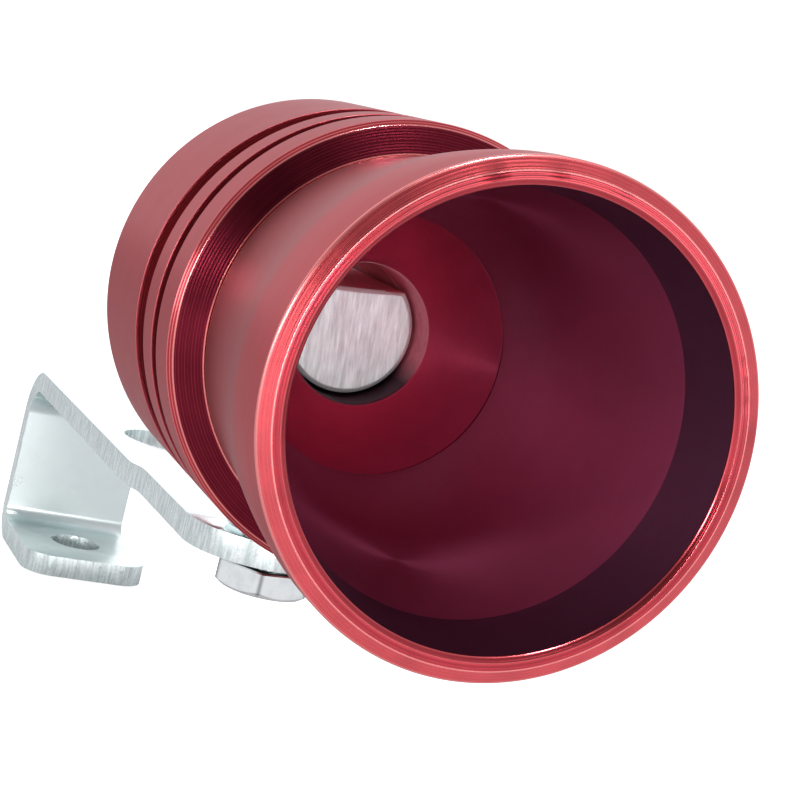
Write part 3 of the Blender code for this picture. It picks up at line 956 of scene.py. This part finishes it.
def make_bolt():
    """Hexagon head with its chamfer, and a shank with a real thread."""
    bm = bmesh.new()
    wear_and_painted_light = bm.verts.layers.float.new("edge")
    sides = 96
    per_flat = sides // 6
    low = -(HEAD_TOP + HEX_HEIGHT)
    top = -HEAD_TOP
    flat_r = HEX_ACROSS / 2 - 0.35 * MM
    chamfer = math.tan(math.radians(32))
    head_rings = []
    profile = []
    for k in range(sides):
        angle = 2 * math.pi * k / sides
        r = hex_radius(angle)
        bottom = low + chamfer * (r - flat_r)
        upper_edge = [(r - 0.35 * MM, top), (r - 0.1 * MM, top - 0.05 * MM), (r, top - 0.2 * MM)]
        lower_edge = [(r, bottom + 0.12 * MM), (r - 0.06 * MM, bottom + 0.01 * MM)]
        lower_edge += [(flat_r + 0.1 * MM, low + 0.05 * MM), (flat_r - 0.08 * MM, low)]
        dish = [(flat_r - 0.5 * MM, low), (flat_r - 0.75 * MM, low + 0.12 * MM)]
        dish += [(1.6 * MM, low + 0.3 * MM), (0.5 * MM, low + 0.32 * MM)]
        profile.append([(SHANK_R, top), *upper_edge, *lower_edge, *dish])
    for j in range(len(profile[0])):
        ring = []
        for k in range(sides):
            angle = 2 * math.pi * k / sides
            r, z = profile[k][j]
            vert = bm.verts.new((r * math.cos(angle), r * math.sin(angle), z))
            # The head's corners are marked for a painted dark reflection.
            if 2 <= j <= 5 and k % per_flat == 0:
                vert[wear_and_painted_light] = 1.0
            ring.append(vert)
        head_rings.append(ring)
    rows = []
    start, end = -SHANK_TOP, top
    per_turn = 10
    count = int((start - end) / PITCH * per_turn)
    for j in range(count + 1):
        z = end + (start - end) * j / count
        tip = min(1.0, max(0.0, (start - z) / (0.8 * MM)))
        root = min(1.0, max(0.0, (z - end) / (0.6 * MM)))
        ring = []
        for k in range(sides):
            angle = 2 * math.pi * k / sides
            phase = (z / PITCH + angle / (2 * math.pi)) % 1.0
            tooth = 1 - abs(2 * phase - 1)
            depth = 0.5 * MM * (1 - min(1.0, max(0.0, tooth * 1.35 - 0.1))) * root
            r = (SHANK_R - depth) * (0.78 + 0.22 * tip)
            ring.append(bm.verts.new((r * math.cos(angle), r * math.sin(angle), z)))
        rows.append(ring)
    chain = list(reversed(head_rings)) + rows[1:]
    for first, second in zip(chain, chain[1:]):
        for k in range(sides):
            after = (k + 1) % sides
            bm.faces.new((first[k], first[after], second[after], second[k]))
    for vert in rows[0]:
        bm.verts.remove(vert)
    bm.faces.new(chain[0])
    bm.faces.new(list(reversed(chain[-1])))
    bmesh.ops.recalc_face_normals(bm, faces=bm.faces)
    bolt = finish_piece("bolt", bm, [BOLT_STEEL], ON_BOLT @ Matrix.Rotation(HEX_TURN, 4, "Z"), 25)
    place(bolt, "bolt", "mounting_bolt")


# ---------------------------------------------------------------- studio

def shade_room(tree):
    """Colour of the room by direction: brightest behind the object, dark in front of it."""
    coords = tree.nodes.new("ShaderNodeTexCoord")
    facing = tree.nodes.new("ShaderNodeVectorMath")
    facing.operation = "DOT_PRODUCT"
    facing.inputs[1].default_value = tuple(FRONT)
    tree.links.new(coords.outputs["Generated"], facing.inputs[0])
    scale = tree.nodes.new("ShaderNodeMapRange")
    scale.inputs["From Min"].default_value = -1.0
    tree.links.new(facing.outputs["Value"], scale.inputs["Value"])
    ramp = tree.nodes.new("ShaderNodeValToRGB")
    elements = ramp.color_ramp.elements
    for _ in range(len(ROOM_TONES) - len(elements)):
        elements.new(0.5)
    for element, (position, tone) in zip(elements, ROOM_TONES):
        element.position = position
        element.color = (tone, tone, tone * ROOM_BLUE, 1.0)
    tree.links.new(scale.outputs[0], ramp.inputs[0])
    return ramp.outputs[0]


def studio():
    """White floor and background for the camera, and a dimmer room that lights the object."""
    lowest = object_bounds()[0].z
    bm = bmesh.new()
    bmesh.ops.create_grid(bm, x_segments=1, y_segments=1, size=FLOOR_HALF_SIZE)
    floor = finish_piece("floor", bm, [], Matrix.Translation((0.0, 0.0, lowest - 0.2 * MM)))
    paint = Paint("floor_white", FLOOR_TONE, 0.9, 0.0)
    paint.shader.inputs["Emission Color"].default_value = (1.0, 1.0, 1.0, 1.0)
    path = paint.node("ShaderNodeLightPath")
    glow = paint.math("MULTIPLY", path.outputs["Is Camera Ray"], FLOOR_GLOW)
    paint.tree.links.new(glow, paint.shader.inputs["Emission Strength"])
    floor.data.materials.append(paint.mat)
    floor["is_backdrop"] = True

    world = bpy.data.worlds.new("studio")
    bpy.context.scene.world = world
    world.use_nodes = True
    tree = world.node_tree
    tree.nodes.clear()
    out = tree.nodes.new("ShaderNodeOutputWorld")
    seen = tree.nodes.new("ShaderNodeBackground")
    seen.inputs[0].default_value = (1.0, 1.0, 1.0, 1.0)
    seen.inputs[1].default_value = BACKGROUND_STRENGTH
    lit = tree.nodes.new("ShaderNodeBackground")
    lit.inputs[1].default_value = ROOM_STRENGTH
    tree.links.new(shade_room(tree), lit.inputs[0])
    path = tree.nodes.new("ShaderNodeLightPath")
    mix = tree.nodes.new("ShaderNodeMixShader")
    tree.links.new(path.outputs["Is Camera Ray"], mix.inputs[0])
    tree.links.new(lit.outputs[0], mix.inputs[1])
    tree.links.new(seen.outputs[0], mix.inputs[2])
    tree.links.new(mix.outputs[0], out.inputs[0])


def area_light(name, place_at, aim, size, watts):
    data = bpy.data.lights.new(name, "AREA")
    data.shape = "DISK"
    data.size = size
    data.energy = watts
    light = bpy.data.objects.new(name, data)
    light.location = place_at
    light.rotation_euler = (aim - place_at).to_track_quat("-Z", "Y").to_euler()
    light.visible_camera = False
    bpy.context.scene.collection.objects.link(light)


def lights():
    """Small discs in front of the rim. high and left make its glints, mouth lights the inside."""
    rim = WHISTLE @ Vector((0.0, 0.0, 0.0))
    for name, direction, distance, size, watts in LIGHTS:
        area_light(name, rim + Vector(direction) * distance, rim, size, watts)


def camera():
    """Close view of the mouth from the left and a little above, rolled as a hand-held camera is."""
    data = bpy.data.cameras.new("camera")
    data.sensor_width = 36.0
    data.lens = CAMERA_LENS
    data.clip_start = 0.005
    cam = bpy.data.objects.new("camera", data)
    level = math.cos(CAMERA_ELEVATION)
    ahead = Vector((-math.sin(CAMERA_AZIMUTH) * level, math.cos(CAMERA_AZIMUTH) * level,
                    -math.sin(CAMERA_ELEVATION)))
    turn = ahead.to_track_quat("-Z", "Y").to_matrix().to_4x4() @ Matrix.Rotation(-CAMERA_ROLL, 4, "Z")
    cam.matrix_world = WHISTLE @ Matrix.Translation(CAMERA_AT) @ turn
    bpy.context.scene.collection.objects.link(cam)
    bpy.context.scene.camera = cam
    bpy.context.scene.view_settings.view_transform = "Standard"


make_horn()
make_barrel()
make_tube()
make_block()
make_cap()
make_clip()
make_flat_washer()
make_spring_washer()
make_bolt()
studio()
lights()
camera()
